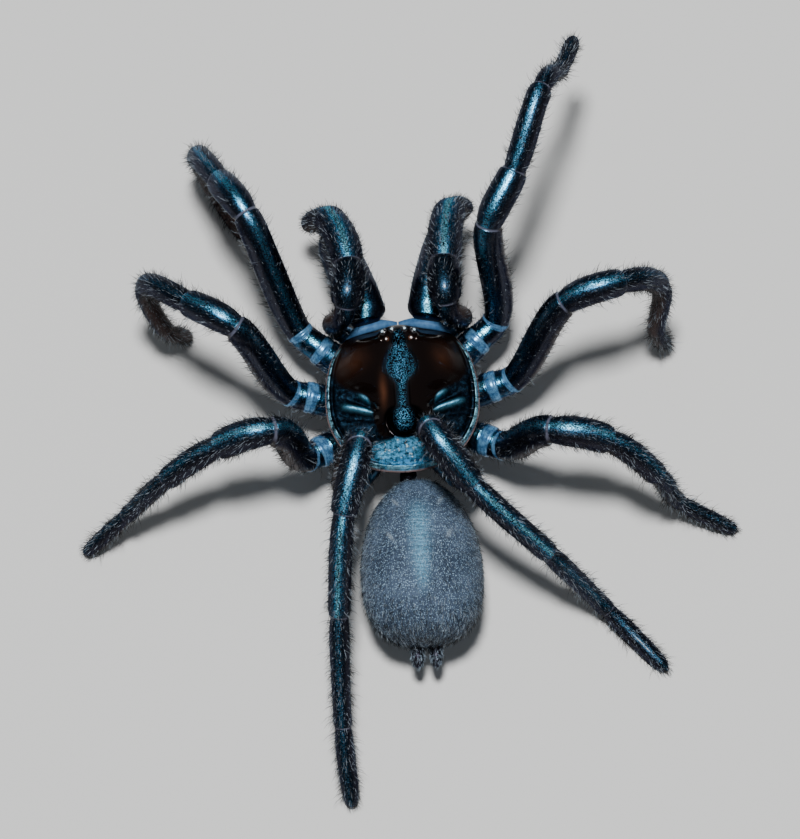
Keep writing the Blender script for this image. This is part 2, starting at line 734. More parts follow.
# The bearing of each ridge or groove round the pit, where it starts and ends, its width and height.
RELIEF = (
    (53, 1.9, 3.1, 0.16, 0.24), (61, 1.8, 3.8, 0.15, -0.14), (69, 2.0, 3.7, 0.18, 0.22),
    (79, 1.6, 3.9, 0.2, -0.14), (93, 1.5, 3.7, 0.24, 0.04), (108, 1.4, 3.5, 0.2, -0.09),
    (122, 1.4, 3.1, 0.22, 0.03), (137, 1.3, 2.8, 0.16, -0.08),
)
PIT = (0.03, -1.85)
PIT_RADIUS = 0.78
PIT_DEPTH = 0.5
RIM_RISE = 0.13
GUTTER_DEPTH = 0.08
MOUND = (0.0, 2.95)
MOUND_RADII = (1.25, 0.78)
MOUND_TOP = 7.8
MEETING = 0.06
print("The carapace is", SHELL_OUTLINE[0][0] - SHELL_OUTLINE[-1][0], "mm long")


# %% Give every spot of the carapace a height
def blend_high(a, b):
    """The higher of two heights, rounded where they meet."""
    top = np.maximum(a, b)
    return top + MEETING * np.log(np.exp((a - top) / MEETING) + np.exp((b - top) / MEETING))


def round_pit(x, y):
    """The distance of a spot from the pit and its bearing, alike on both sides."""
    across = x - PIT[0]
    along = y - PIT[1]
    return np.hypot(across, along), np.degrees(np.arctan2(abs(across), along))


def relief_share(x, y, angle, start, end, width):
    """How much of a ridge or groove there is at a spot, on either side of the pit."""
    from_pit, bearing = round_pit(x, y)
    off = from_pit * np.sin(np.radians(bearing - angle))
    reach = ease(from_pit, start - 0.5, start + 0.4) * (1 - ease(from_pit, end - 0.5, end + 0.3))
    facing = np.cos(np.radians(bearing - angle)) > 0
    return reach * facing * peak(off, 0, width)


def shell_height(x, y, out):
    """Height of the carapace over a spot, where out is 1 at its edge and 0 at its middle."""
    thorax = SHELL_RIM + (THORAX_TOP - SHELL_RIM) * (1 - out**2.4)
    dome = np.clip(1 - (abs(x) / smooth_line(HEAD_EDGE, y)) ** 2.6, 0, None)
    head = SHELL_RIM + (smooth_line(CROWN, y) - SHELL_RIM) * dome * (1 - out**7)
    height = blend_high(thorax, head)
    from_pit, bearing = round_pit(x, y)
    for *course, rise in RELIEF:
        height = height + rise * relief_share(x, y, *course)
    height = height - PIT_DEPTH * peak(from_pit, PIT_RADIUS, 0.13) * ease(bearing, 62, 105)
    spread = ((x - MOUND[0]) / MOUND_RADII[0]) ** 2 + ((y - MOUND[1]) / MOUND_RADII[1]) ** 2
    mound = MOUND_TOP - 0.5 * spread - 0.25 * spread**2
    height = blend_high(height, np.where(spread < 4, mound, SHELL_RIM))
    rim = RIM_RISE * peak(out, 0.975, 0.018) - GUTTER_DEPTH * peak(out, 0.925, 0.025)
    return height + rim * (1 - ease(y, 2.2, 3.6))


def round_loop(outline, count):
    """A smooth closed line through half an outline and its mirror image."""
    half = np.array(outline)[:, ::-1]
    loop = np.vstack([half, half[1:-1][::-1] * [-1, 1]])
    spans = np.linspace(0, len(loop), count, endpoint=False)
    i = spans.astype(int)
    t = (spans - i)[:, None]
    p, q, r, s = (loop[(i + k) % len(loop)] for k in (-1, 0, 1, 2))
    square = p - 2.5 * q + 2 * r - 0.5 * s
    cube = 1.5 * (q - r) + 0.5 * (s - p)
    return q + 0.5 * t * (r - p) + t**2 * square + t**3 * cube


# %% Mark the parts of the carapace
STREAK = (
    (3.3, 0.3), (2.7, 0.34), (2.2, 0.5), (1.7, 0.76), (1.2, 0.9), (0.8, 0.84), (0.4, 0.5), (0.1, 0.24),
    (-1.8, 0.12),
)
HEAD_SIDE = (
    (3.0, 3.6), (1.4, 3.75), (0.8, 3.5), (0.5, 3.15), (0.2, 2.6), (-0.1, 2.15), (-0.7, 1.78),
    (-1.8, 1.6), (-2.5, 1.35), (-3.0, 0.9),
)
# The middle of each warm patch of the head, its half sizes and its strength.
WARM_SPOTS = ((-2.8, 1.9, 0.8, 0.7, 0.42), (-1.05, -0.2, 0.2, 0.75, 0.8), (2.5, 1.8, 0.6, 0.7, 0.34))


def grain_marks(x, y):
    """Where the middle of the carapace is grainy, and the wide streak on the head by itself."""
    half = smooth_line(STREAK, y)
    streak = (1 - ease(abs(x), 0.55 * half, 1.25 * half)) * (0.35 + 0.65 * ease(y, -0.6, 0.9))
    streak = streak * (1 - ease(y, 2.9, 3.3)) * ease(y, -1.9, -1.4)
    in_pit = (1 - ease(np.hypot(x - PIT[0], (y - PIT[1]) * 0.9), 0.42, 0.68)) * 0.9
    line = (1 - ease(abs(x), 0.05, 0.3)) * ease(y, -1.4, -1.0) * (1 - ease(y, 0, 0.6)) * 0.5
    granular = np.maximum(streak * (0.35 + 0.65 * peak(x, 0, 0.32)), np.maximum(in_pit, line))
    return granular, streak


def carapace_marks(x, y, out):
    """Where the carapace is grainy, ribbed, bright behind, warm brown, matt or steep."""
    granular, streak = grain_marks(x, y)
    slope = ease(-y, 2.75, 3.15) * (1 - 0.7 * ease(abs(x), 1.0, 1.9)) * (1 - ease(abs(x), 1.9, 2.6))
    thorax = ease(abs(x) / smooth_line(HEAD_SIDE, y), 0.96, 1.08)
    thorax = np.maximum(thorax, ease(-y, 2.6, 2.9))
    ridges = [relief for relief in RELIEF if relief[-1] > 0.1]
    crest = sum(rise * 6 * relief_share(x, y, *course) ** 2 for *course, rise in ridges)
    from_pit, _ = round_pit(x, y)
    groove = peak(from_pit, PIT_RADIUS, 0.22) * (1 - ease(y, -1.6, -1.0))
    midline = (1 - ease(abs(x), 0.3, 0.5)) * (1 - ease(y, 0.6, 1.6))
    matt = 2 * groove + 1.5 * streak + (1 - ease(from_pit, 0.45, 0.9)) + midline
    steep = ease(abs(x) / smooth_line(HEAD_EDGE, y), 0.55, 0.8) * ease(y, 0.2, 1.2)
    return {
        "granular": granular,
        "thorax": thorax,
        "slope": slope,
        "warm": sum(k * peak(x, a, p) * peak(y, b, q) for a, b, p, q, k in WARM_SPOTS),
        "rim": ease(out, 0.962, 0.972) * (out < 1.001) * (1 - ease(y, 2.0, 3.2)),
        "crest": np.clip(crest, 0, 1) * thorax,
        "matt": np.clip(matt, 0, 1),
        "steep": np.maximum(steep, ease(y, 3.0, 3.4)),
    }


# The size of the pale skirt beside the outline, and its height, from under the edge upwards.
SKIRT = ((0.9, 5.0), (0.97, 4.95), (1.0, 4.99), (1.018, 5.06), (1.022, 5.14), (1.012, 5.21), (1.0, 5.26))


def carapace_skin():
    """The carapace as rings from under its edge, round the pale skirt, up to its middle."""
    loop = round_loop(SHELL_OUTLINE, SHELL_SIDES) - [0, SHELL_CENTRE]
    sizes, heights = np.array(SKIRT).T
    edge_rings = np.linspace(1, 0.9, SHELL_EDGE_RINGS)
    inner_rings = np.linspace(0.9, 0.012, SHELL_RINGS)[1:]
    outs = np.concatenate([sizes, edge_rings, inner_rings])[:, None]
    spots = loop[None] * outs[..., None] + [0, SHELL_CENTRE]
    x, y = spots[..., 0], spots[..., 1]
    out = np.broadcast_to(outs, x.shape)
    z = shell_height(x, y, np.minimum(out, 1))
    z[:len(SKIRT)] = heights[:, None]
    marks = carapace_marks(x, y, out)
    marks["skirt"] = (np.arange(len(outs)) < len(SKIRT) - 1)[:, None].astype(float)
    return Skin(np.dstack([x, y, z]) + BODY, **marks)


# %% Mix the finish of the carapace
HEAD_BLACK = (0.0035, 0.0018, 0.0015)
HEAD_WARM = (0.08, 0.03, 0.015)
MATT_BLACK = (0.0006, 0.001, 0.0014)
RIB_DARK = (0.002, 0.004, 0.007)
RIB_BLUE = (0.022, 0.065, 0.12)
CREST_BLUE = (0.22, 0.66, 0.95)
SLOPE_DARK = (0.008, 0.028, 0.055)
SLOPE_BLUE = (0.14, 0.52, 0.84)
SLOPE_PALE = (0.75, 0.95, 1.0)
RIM_BLUE = (0.36, 0.78, 0.95)
GRAIN_BLUE = (0.15, 0.52, 0.88)
SKIRT_BROWN = (0.22, 0.15, 0.15)


def carapace_finish():
    """Mirror-smooth black-brown head, blue grains along the middle, ribbed blue thorax."""
    finish = Finish(
        "carapace", Coat_Roughness=0.07, Coat_IOR=1.4, Specular_IOR_Level=0.15,
        Specular_Tint=(0.3, 0.5, 0.6, 1.0),
    )
    granular, thorax, slope = finish.marks("granular", "thorax", "slope")
    warm, rim, skirt = finish.marks("warm", "rim", "skirt")
    crest, matt, steep = finish.marks("crest", "matt", "steep")
    clouds = finish.noise(0.7, 4.0)
    fine = finish.noise(0.14, 4.0, 0.6)
    wrinkles = finish.noise(0.2, 5.0, 0.75)
    clumps = finish.noise(0.3, 5.0, 0.7)
    dots = 1 - finish.grains(0.056).step(0.2, 0.42)
    grain = (granular * (0.3 + clumps * 1.3) * dots * 1.3).held()
    head = finish.mix((warm * (0.3 + clouds)).held(), HEAD_BLACK, HEAD_WARM)
    head = finish.mix(matt, head, MATT_BLACK)
    ribbed = finish.mix(wrinkles.step(0.45, 0.8), RIB_DARK, RIB_BLUE)
    ribbed = finish.mix((crest * wrinkles.step(0.25, 0.5)).held(), ribbed, CREST_BLUE)
    bright = finish.mix(wrinkles.step(0.36, 0.6), SLOPE_DARK, SLOPE_BLUE)
    bright = finish.mix(clumps.step(0.58, 0.66), bright, SLOPE_PALE)
    plate = finish.mix(slope, finish.mix(thorax, head, ribbed), bright)
    plate = finish.mix(rim * (1 - skirt) * clumps.step(0.38, 0.6), plate, RIM_BLUE)
    rough = 0.1 + matt**2 * 0.3 + thorax * 0.26 + slope * 0.02 + skirt * 0.3 + steep * 0.28
    coat = (1 - matt * 1.2).held() * (1 - thorax * 0.8) * (1 - skirt) * (1 - steep * 0.85)
    height = granular * dots * 0.9 + thorax * wrinkles * 0.9 + slope * clumps * 1.6 + fine * 0.01
    return finish.drive(
        Base_Color=finish.mix(skirt, finish.mix(grain, plate, GRAIN_BLUE), SKIRT_BROWN),
        Metallic=(matt * 4 + thorax * 0.95 + rim).held() * (1 - skirt),
        Roughness=rough + (fine - 0.5) * 0.06,
        Coat_Weight=coat * 0.4,
        Normal=finish.relief(height, 0.07, 0.9),
    )


SKINS["carapace"] = carapace_skin()
SKINS["carapace"].piece("carapace_shell", carapace_finish(), "carapace", "carapace")
print("Carapace:", SKINS["carapace"].count, "rings of", SKINS["carapace"].sides)

# %% [markdown]
# ## Eyes
# Eight small eyes sit on one low mound, in two rows of four. Each lens is a glossy dome,
# half sunk in the shell, and those of the rear row have an amber tint. The lamp's mirror
# image in so small a lens is too fine to see, so a small pale glint is painted at its top.

# %% Set the eyes
# How far from the middle and how far ahead on the mound each lens sits, and its radius.
EYES = {
    "front_middle": (0.33, 0.24, 0.2),
    "front_side": (0.84, 0.22, 0.22),
    "rear_middle": (0.67, -0.24, 0.15),
    "rear_side": (0.95, -0.28, 0.17),
}
LENS_SIDES = 28
LENS_TILTS = (-40, -20, 0, 15, 30, 45, 58, 70, 80, 87)
LENS_HEIGHT = 0.85
LENS_SUNK = 0.15
MOUND_OUT = 0.75


def eye_finish(name, depth, rim, glint):
    """A glossy lens, lighter towards its rim, with a small pale glint at its top."""
    finish = Finish(name, Coat_Weight=1.0, Coat_Roughness=0.125)
    edge = finish.mark("edge")
    lens = finish.mix(edge + (finish.noise(0.1) - 0.5) * 0.3, depth, rim)
    colour = finish.mix(edge.step(0.02, 0.1), glint, lens)
    return finish.drive(Base_Color=colour, Roughness=0.12 + edge * 0.15)


AMBER_EYE = eye_finish(
    "eye_amber", depth=(0.008, 0.004, 0.003), rim=(0.1, 0.035, 0.015), glint=(1.0, 0.93, 0.9)
)
DARK_EYE = eye_finish(
    "eye_dark", depth=(0.003, 0.003, 0.004), rim=(0.02, 0.02, 0.024), glint=(0.6, 0.85, 1.0)
)


def lens_skin(across, along, radius):
    """A lens that leans outwards on the mound."""
    spot = np.array([across, MOUND[1] + along])
    height = shell_height(spot[:1], spot[1:], np.array([MOUND_OUT]))[0]
    lean = unit(np.array([across * 0.9, along * 1.3, 1.25]))
    aside = unit(np.cross(lean, [0, 1.0, 0]))
    tilt = np.radians(LENS_TILTS)
    centre = BODY + [*spot, height] - lean * radius * LENS_SUNK
    line = centre + np.outer(np.sin(tilt), lean) * radius * LENS_HEIGHT
    half = radius * np.cos(tilt)
    rings = rings_round(line, half, half, np.cross(lean, aside), aside, LENS_SIDES)
    return Skin(rings, edge=np.cos(tilt)[:, None] ** 3)


for row, (x, y, radius) in EYES.items():
    for side, sign in SIDES.items():
        finish = AMBER_EYE if row.startswith("rear") else DARK_EYE
        replaced = ["eye_tubercle"] if (row, side) == ("front_middle", "left") else []
        lens_skin(sign * x, y, radius).piece(f"eye_{row}_{side}", finish, "eye", *replaced)
print("Eight lenses on a mound with half sizes of", MOUND_RADII, "mm")

# %% [markdown]
# ## Jaws
# The chelicerae are stout and arched, and each carries a long curved fang folded under it.
# Cuts across the solids give the middle and the size at each station, and the skin runs
# smoothly through them. The fang's root is sunk in the jaw, so that the two join.

# %% Shape the chelicerae and fangs
CUT_SHARES = (0.02, 0.1, 0.2, 0.32, 0.46, 0.6, 0.74, 0.85, 0.93, 0.985)
END_ZONE = 0.6
BACK_CAP = 0.12
FRONT_CAP = 0.4
JAW_SIDES = 44
FANG_ROOT_DEPTH = 0.05
FANG_TIP_DEPTH = 0.12
FANG_SUNK = 0.85
FANG_PULL = 0.26
FANG_RADII = ((0, 0.44), (0.25, 0.47), (0.55, 0.35), (0.85, 0.16), (1, 0.03))
FANG_RINGS = 50
FANG_SIDES = 24
FANG_BLACK = (0.012, 0.006, 0.005)
FANG_RED = (0.09, 0.02, 0.008)


def cut_line(node, start, end, shares, aside):
    """Middles and half sizes of a solid that is cut at shares of its length."""
    run = unit(end - start)
    aside = unit(aside - run * (aside @ run))
    above = np.cross(run, aside)
    above = above if above[2] > 0 else -above
    rows = []
    for share in shares:
        centre = start + (end - start) * share
        points = cut(node, centre, run)
        halves = []
        for way in (aside, above):
            reach = points @ way
            centre = centre + way * ((reach.max() + reach.min()) / 2 - centre @ way)
            halves.append((reach.max() - reach.min()) / 2)
        rows.append((*centre, *halves))
    return rows, aside, above


def oval_rings(table, aside, above, sides):
    """Rings along a table of middles and half sizes."""
    return rings_round(table[:, :3], table[:, 3], table[:, 4], aside, above, sides)


def cap_rows(row, outward, depth):
    """Rows that round off the end of a table."""
    share = np.linspace(0.15, 0.98, 9)[:, None]
    return np.hstack([row[:3] + outward * depth * share, row[3:] * np.sqrt(1 - share**2)])


def chelicera_skin(side):
    """The basal piece of a jaw, and the level direction in which it points."""
    node = f"chelicera_{side}"
    points = corners(node)
    reach = points[:, 1]
    start = points[reach < reach.min() + END_ZONE].mean(axis=0)
    end = points[reach > reach.max() - END_ZONE].mean(axis=0)
    heading = unit((end - start) * [1, 1, 0])
    spread = points @ heading
    centre = points.mean(axis=0)
    start = centre + heading * (spread.min() - centre @ heading)
    end = centre + heading * (spread.max() - centre @ heading)
    rows, aside, above = cut_line(node, start, end, CUT_SHARES, np.array([heading[1], -heading[0], 0]))
    fine = np.concatenate([np.linspace(0.02, 0.9, 60), np.linspace(0.9, 0.985, 12)[1:]])
    table = smooth_table(rows, CUT_SHARES, fine)
    back = cap_rows(table[0], -heading, BACK_CAP)[::-1]
    front = cap_rows(table[-1], heading, FRONT_CAP)
    rings = oval_rings(np.vstack([back, table, front]), aside, above, JAW_SIDES)
    hairy = 0.3 + 0.7 * np.linspace(0, 1, len(rings))[:, None]
    below = 0.5 - 0.5 * np.cos(full_turn(JAW_SIDES))
    return Skin(rings, below=below, hairy=hairy, gleam=1.0), heading


def fang_finish():
    """Polished red-black fang."""
    finish = Finish("fang", Coat_Weight=0.6, Coat_Roughness=0.05)
    streaks = finish.noise(0.3, 3.0)
    redness = (finish.mark("tip") + (streaks - 0.5) * 0.4).held()
    return finish.drive(
        Base_Color=finish.mix(redness, FANG_BLACK, FANG_RED),
        Roughness=0.14 + streaks * 0.1,
        Normal=finish.relief(streaks, 0.01, 0.5),
    )


FANG = fang_finish()


def fang_skin(side, heading):
    """The fang, curved from inside the tip of the jaw back along its underside."""
    points = corners(f"fang_{side}")
    root = points[points[:, 2] > points[:, 2].max() - FANG_ROOT_DEPTH].mean(axis=0)
    root = root + UP * FANG_SUNK
    back = points @ heading
    tip = points[back < back.min() + FANG_TIP_DEPTH].mean(axis=0)
    pull = FANG_PULL * np.linalg.norm(tip - root)
    share = np.linspace(0, 1, FANG_RINGS)
    below = root - UP * (pull + FANG_SUNK)
    ahead = tip + (heading + UP * 0.2) * pull
    line = bezier(root, below, ahead, tip, share[:, None])
    aside = np.array([heading[1], -heading[0], 0])
    above = np.cross(unit(np.gradient(line, axis=0)), aside)
    radius = smooth_line(FANG_RADII, share)
    return Skin(rings_round(line, radius, radius, aside, above, FANG_SIDES), tip=share[:, None])


for side in SIDES:
    SKINS[f"chelicera_{side}"], heading = chelicera_skin(side)
    SKINS[f"chelicera_{side}"].piece(f"skin_chelicera_{side}", CUTICLE, "cuticle", f"chelicera_{side}")
    fang_skin(side, heading).piece(f"fang_piece_{side}", FANG, "fang", f"fang_{side}")
print("Jaws:", SKINS["chelicera_left"].count, "rings each")

# %% [markdown]
# ## Soft band and flanks
# Between the shield and the jaws lies a bare blue membrane in two flat lobes, pinched at
# the middle. Each is a flattened tube along the edge of the shield, and its interest is in
# the finish, fine creases in steel-blue skin. The flanks behind the hips are plain and dark.

# %% Add the soft skin of the front body
BAND_LINE = ((0.03, 4.37, 5.55), (0.75, 4.38, 5.62), (1.5, 4.28, 5.64), (2.3, 4.07, 5.6), (3.0, 3.65, 5.44))
BAND_HALF = ((0, 0.13), (0.25, 0.25), (0.5, 0.33), (0.78, 0.27), (1, 0.03))
BAND_FLATNESS = 0.7
BAND_RINGS = 70
BAND_SIDES = 24
FLANK_SIDES = 160
# How large the flanks are beside the shield's outline, from their lowest level up.
FLANK_LEVELS = ((0.42, 2.55), (0.55, 2.75), (0.62, 3.1), (0.68, 3.6), (0.76, 4.2), (0.86, 4.8), (0.93, 5.05))
MEMBRANE_SHADE = (0.022, 0.075, 0.175)
MEMBRANE_BLUE = (0.06, 0.15, 0.29)


def membrane_finish():
    """Soft steel-blue skin with fine creases."""
    finish = Finish("membrane", Specular_IOR_Level=0.2, Specular_Tint=(0.4, 0.65, 1.0, 1.0))
    creases = finish.noise(0.4, 5.0, 0.65)
    fine = finish.noise(0.07, 2.0)
    return finish.drive(
        Base_Color=finish.mix(creases.step(0.3, 0.7), MEMBRANE_SHADE, MEMBRANE_BLUE),
        Roughness=0.36 + fine * 0.16,
        Normal=finish.relief(creases + fine * 0.3, 0.02, 0.7),
    )


MEMBRANE = membrane_finish()


def band_skin(sign):
    """One lobe of the membrane in front of the carapace."""
    share = np.linspace(0, 1, BAND_RINGS)
    line = smooth_table(BAND_LINE, np.linspace(0, 1, len(BAND_LINE)), share)
    line = BODY + line * [sign, 1, 1]
    half = smooth_line(BAND_HALF, share)
    across = unit(np.cross(UP, unit(np.gradient(line, axis=0))))
    return Skin(rings_round(line, half * BAND_FLATNESS, half, UP, across, BAND_SIDES))


def flank_skin():
    """The soft body between the shield, the sternum and the legs."""
    loop = round_loop(SHELL_OUTLINE, FLANK_SIDES) - [0, SHELL_CENTRE]
    rings = []
    for size, height in FLANK_LEVELS:
        spot = loop * size + [0, SHELL_CENTRE]
        rings.append(np.column_stack([spot, np.full(len(spot), height)]) + BODY)
    return Skin(rings, below=0.7)


for side, sign in SIDES.items():
    band_skin(sign).piece(f"front_membrane_{side}", MEMBRANE, "membrane")
flank_skin().piece("flank_membrane", CUTICLE, "membrane")
print("Front membrane:", max(half for _, half in BAND_HALF), "mm half width")

# %% [markdown]
# ## Sternum
# The plate on the underside lies between the hips, with the short lip in front of it. It is
# a flat shield with rounded edges, so one outline at a few heights is enough.

# %% Shape the sternum
STERNUM_OUTLINE = ((2.5, 0.0), (2.3, 0.9), (1.6, 1.75), (0.3, 2.3), (-1.2, 2.1), (-2.2, 1.3), (-2.6, 0.0))
LIP_OUTLINE = ((3.75, 0.0), (3.6, 0.5), (3.1, 0.75), (2.7, 0.7), (2.6, 0.0))
PLATE_SIDES = 120
EDGE_RADIUS = 0.5


def plate(outline, low, high):
    """A flat plate with a rounded edge, domed below."""
    loop = round_loop(outline, PLATE_SIDES)
    centre = loop.mean(axis=0)
    rings = []
    for lean in np.radians(np.linspace(-88, 0, 22)):
        size = 0.25 + 0.75 * math.cos(lean) ** 0.5
        height = np.full(PLATE_SIDES, low + EDGE_RADIUS * (1 + math.sin(lean)))
        rings.append(np.column_stack([(loop - centre) * size + centre, height]))
    rings.append(np.column_stack([loop, np.full(PLATE_SIDES, high)]))
    return Skin(np.array(rings) + BODY, below=0.75, hairy=0.5)


SKINS["sternum"] = plate(STERNUM_OUTLINE, 2.3, 3.2)
SKINS["sternum"].piece("sternum_plate", CUTICLE, "cuticle", "sternum")
plate(LIP_OUTLINE, 2.4, 3.1).piece("lip_plate", CUTICLE, "cuticle")
print("Sternum and lip in place")

# %% [markdown]
# ## Abdomen
# The abdomen is a soft bag with a velvet of short hairs. Cuts across its solid give its
# size at each station. Its back shows a bluer stripe, pairs of small dents where muscles
# hold on inside, and faint cross folds, which are all small changes of height and colour.

# %% Shape the abdomen
ABDOMEN_SHARES = (0.01, 0.04, 0.1, 0.2, 0.32, 0.45, 0.58, 0.7, 0.81, 0.9, 0.96, 0.99)
ABDOMEN_RINGS = 170
ABDOMEN_SIDES = 150
END_LEAN = 0.05
# How far along the back each pair of dents lies, and how far from the middle.
DENTS = ((0.2, 1.3), (0.43, 1.65))
DENT_DEPTH = 0.04
FOLD_HEIGHT = 0.025
FOLD_RATE = 95
TROUGH_DEPTH = 0.06
STRIPE_HALF = ((0, 0.42), (0.3, 0.5), (0.5, 0.46), (0.7, 0.34), (1, 0.2))


def abdomen_rings():
    """The plain bag as rings from its front to its rear, and how far along each one lies."""
    low, high = node_box("abdomen")
    centre = (low + high) / 2
    start = np.array([centre[0], high[1], centre[2]])
    end = np.array([centre[0], low[1], centre[2]])
    rows, aside, above = cut_line("abdomen", start, end, ABDOMEN_SHARES, np.array([1.0, 0, 0]))
    lean = np.linspace(END_LEAN, np.pi - END_LEAN, ABDOMEN_RINGS)
    along = 0.5 - 0.5 * np.cos(lean)
    bent = np.arccos(1 - 2 * np.array(ABDOMEN_SHARES))
    table = smooth_table(rows, bent, lean)
    table[:, 1] = start[1] + (end[1] - start[1]) * along
    grow = np.clip(lean / bent[0], 0, 1) * np.clip((np.pi - lean) / (np.pi - bent[-1]), 0, 1)
    table[:, 3:] *= grow[:, None]
    return oval_rings(table, aside, above, ABDOMEN_SIDES), along[:, None]


def abdomen_skin():
    """The abdomen with its dents, folds and shallow trough, and where its stripe runs."""
    rings, along = abdomen_rings()
    low, high = node_box("abdomen")
    across = rings[..., 0] - (low[0] + high[0]) / 2
    upper = 0.5 + 0.5 * np.cos(full_turn(ABDOMEN_SIDES))
    depth = 0.0
    for place, off in DENTS:
        back = (along - place) * (high[1] - low[1])
        side = abs(across) - off + 0.5 * back
        depth = depth + DENT_DEPTH * peak(back, 0, 0.3) * peak(side, 0, 0.09) * (upper > 0.5)
    folds = FOLD_HEIGHT * np.sin(along * FOLD_RATE + 1.2 * np.cos(across))
    folds = folds * ease(upper, 0.3, 0.8) * ease(along, 0.25, 0.6)
    trough = TROUGH_DEPTH * peak(across, 0, 0.5) * ease(upper, 0.6, 0.9)
    rings = rings + Skin(rings).normals() * (folds - depth - trough)[..., None]
    stripe = peak(across, 0, smooth_line(STRIPE_HALF, along)) * (upper > 0.5)
    stripe = stripe * ease(along, 0.16, 0.36) * (1 - ease(along, 0.6, 0.84))
    return Skin(rings, stripe=stripe, dent=np.clip(depth * 25, 0, 1), upper=upper)


SLATE_DARK = (0.03, 0.049, 0.086)
SLATE = (0.07, 0.105, 0.168)
STRIPE_BLUE = (0.16, 0.42, 0.62)
DOT_PALE = (0.32, 0.48, 0.64)
DENT_PALE = (0.42, 0.5, 0.56)
WAVES_PER_METRE = 1300


def abdomen_finish():
    """Velvety slate-blue skin with pale dots and a bluer stripe."""
    finish = Finish("abdomen", Specular_IOR_Level=0.25)
    stripe, dent = finish.marks("stripe", "dent")
    clouds = finish.noise(1.6, 4.0)
    nap = finish.noise(0.09, 4.0, 0.7)
    dots = finish.grains(0.095)
    waves = finish.node(
        "ShaderNodeTexWave",
        {"bands_direction": "Y"},
        {"Vector": finish.place(), "Scale": WAVES_PER_METRE, "Distortion": 7, "Detail": 3},
    )
    slate = finish.mix(clouds.step(0.3, 0.7), SLATE_DARK, SLATE)
    blue = finish.mix((stripe * (0.05 + waves * 0.4 + nap * 0.8)).held(), slate, STRIPE_BLUE)
    speck = (1 - dots.step(0.16, 0.42)) * (nap * 1.8)
    colour = finish.mix(speck.held(), blue, DOT_PALE)
    return finish.drive(
        Base_Color=finish.mix(dent * 0.5, colour, DENT_PALE),
        Metallic=stripe * 0.4,
        Roughness=0.55 - stripe * 0.14 + (nap - 0.5) * 0.2,
        Normal=finish.relief(nap + clouds * 0.6 + waves * 0.3 - dots * 0.6, 0.06, 0.9),
    )


SKINS["abdomen"] = abdomen_skin()
SKINS["abdomen"].piece("abdomen_skin", abdomen_finish(), "abdomen", "abdomen")
print("Abdomen:", SKINS["abdomen"].count, "rings of", SKINS["abdomen"].sides)

# %% [markdown]
# ## Stalk and spinnerets
# A narrow stalk joins the two halves of the body. At the rear stand two spinnerets of three
# segments, the last one tapered, with a tiny pair between them.

# %% Shape the stalk and the spinnerets
SPINNERET_LINE = (
    (0, 0.98), (0.08, 1.04), (0.3, 1.02), (0.36, 0.94), (0.4, 0.97), (0.6, 0.9), (0.65, 0.82),
    (0.69, 0.82), (0.85, 0.6), (0.95, 0.38), (1, 0.08),
)
SMALL_LINE = ((0, 1), (0.7, 0.9), (1, 0.2))
STALK_LINE = ((0, 1.2), (0.3, 0.9), (0.6, 0.95), (1, 1.3))
SPINNERET_RADIUS = 0.37
SMALL_RADIUS = 0.13
STALK_RADIUS = 0.52
REAR_DEPTH = 0.08
FRONT_DEPTH = 0.25
TIP_DRAWN_IN = 0.2
ROOT_SUNK = 0.45
SMALL_ASIDE = 0.2
SMALL_AHEAD = 0.1
SMALL_UP = 0.1
SMALL_SHARE = 0.35
STALK_SUNK = 1.0
SHADED = 0.35


def tube(start, end, radius, line, sides, count, **marks):
    """A straight tube with a radius that follows a line of shares."""
    aside = unit(np.cross(unit(end - start), UP))
    share = np.linspace(0, 1, count)
    middles = start + (end - start) * share[:, None]
    size = radius * smooth_line(line, share)
    above = np.cross(aside, unit(end - start))
    return Skin(rings_round(middles, size, size, aside, above, sides), below=SHADED, **marks)


def spinneret_skins(side, sign):
    """One spinneret and the tiny one beside it."""
    points = corners(f"spinneret_{side}")
    rear = points[points[:, 1] < points[:, 1].min() + REAR_DEPTH].mean(axis=0)
    front = points[points[:, 1] > points[:, 1].max() - FRONT_DEPTH].mean(axis=0)
    rear = rear + unit(front - rear) * TIP_DRAWN_IN
    inside = front + unit(front - rear) * ROOT_SUNK
    small = front + np.array([-sign * SMALL_ASIDE, SMALL_AHEAD, SMALL_UP])
    small_end = small + (rear - front) * SMALL_SHARE
    return (
        tube(inside, rear, SPINNERET_RADIUS, SPINNERET_LINE, sides=32, count=90, hairy=1.0),
        tube(small, small_end, SMALL_RADIUS, SMALL_LINE, sides=16, count=20, hairy=1.0),
    )


for side, sign in SIDES.items():
    SKINS[f"spinneret_{side}"], small = spinneret_skins(side, sign)
    SKINS[f"spinneret_{side}"].piece(f"spinneret_piece_{side}", CUTICLE, "abdomen", f"spinneret_{side}")
    small.piece(f"small_spinneret_{side}", CUTICLE, "abdomen")
low, high = node_box("pedicel")
middle = (low + high) / 2
stalk_start = np.array([middle[0], high[1], middle[2]])
stalk_end = np.array([middle[0], low[1] - STALK_SUNK, middle[2]])
stalk = tube(stalk_start, stalk_end, STALK_RADIUS, STALK_LINE, sides=32, count=40)
stalk.piece("stalk", CUTICLE, "membrane", "pedicel")
print("Spinnerets and stalk in place")

# %% [markdown]
# ## Bristles
# Bristles stand on every leg, dense towards the feet and sparse at the hips, most of them
# short, and a fine down covers the abdomen. Hair systems don't leave Blender with a mesh, so
# each bristle here is a slim three-sided spike with its root sunk in the skin. Roots are
# drawn at random over the skin's cells, and a colour map keeps one small patch for each.

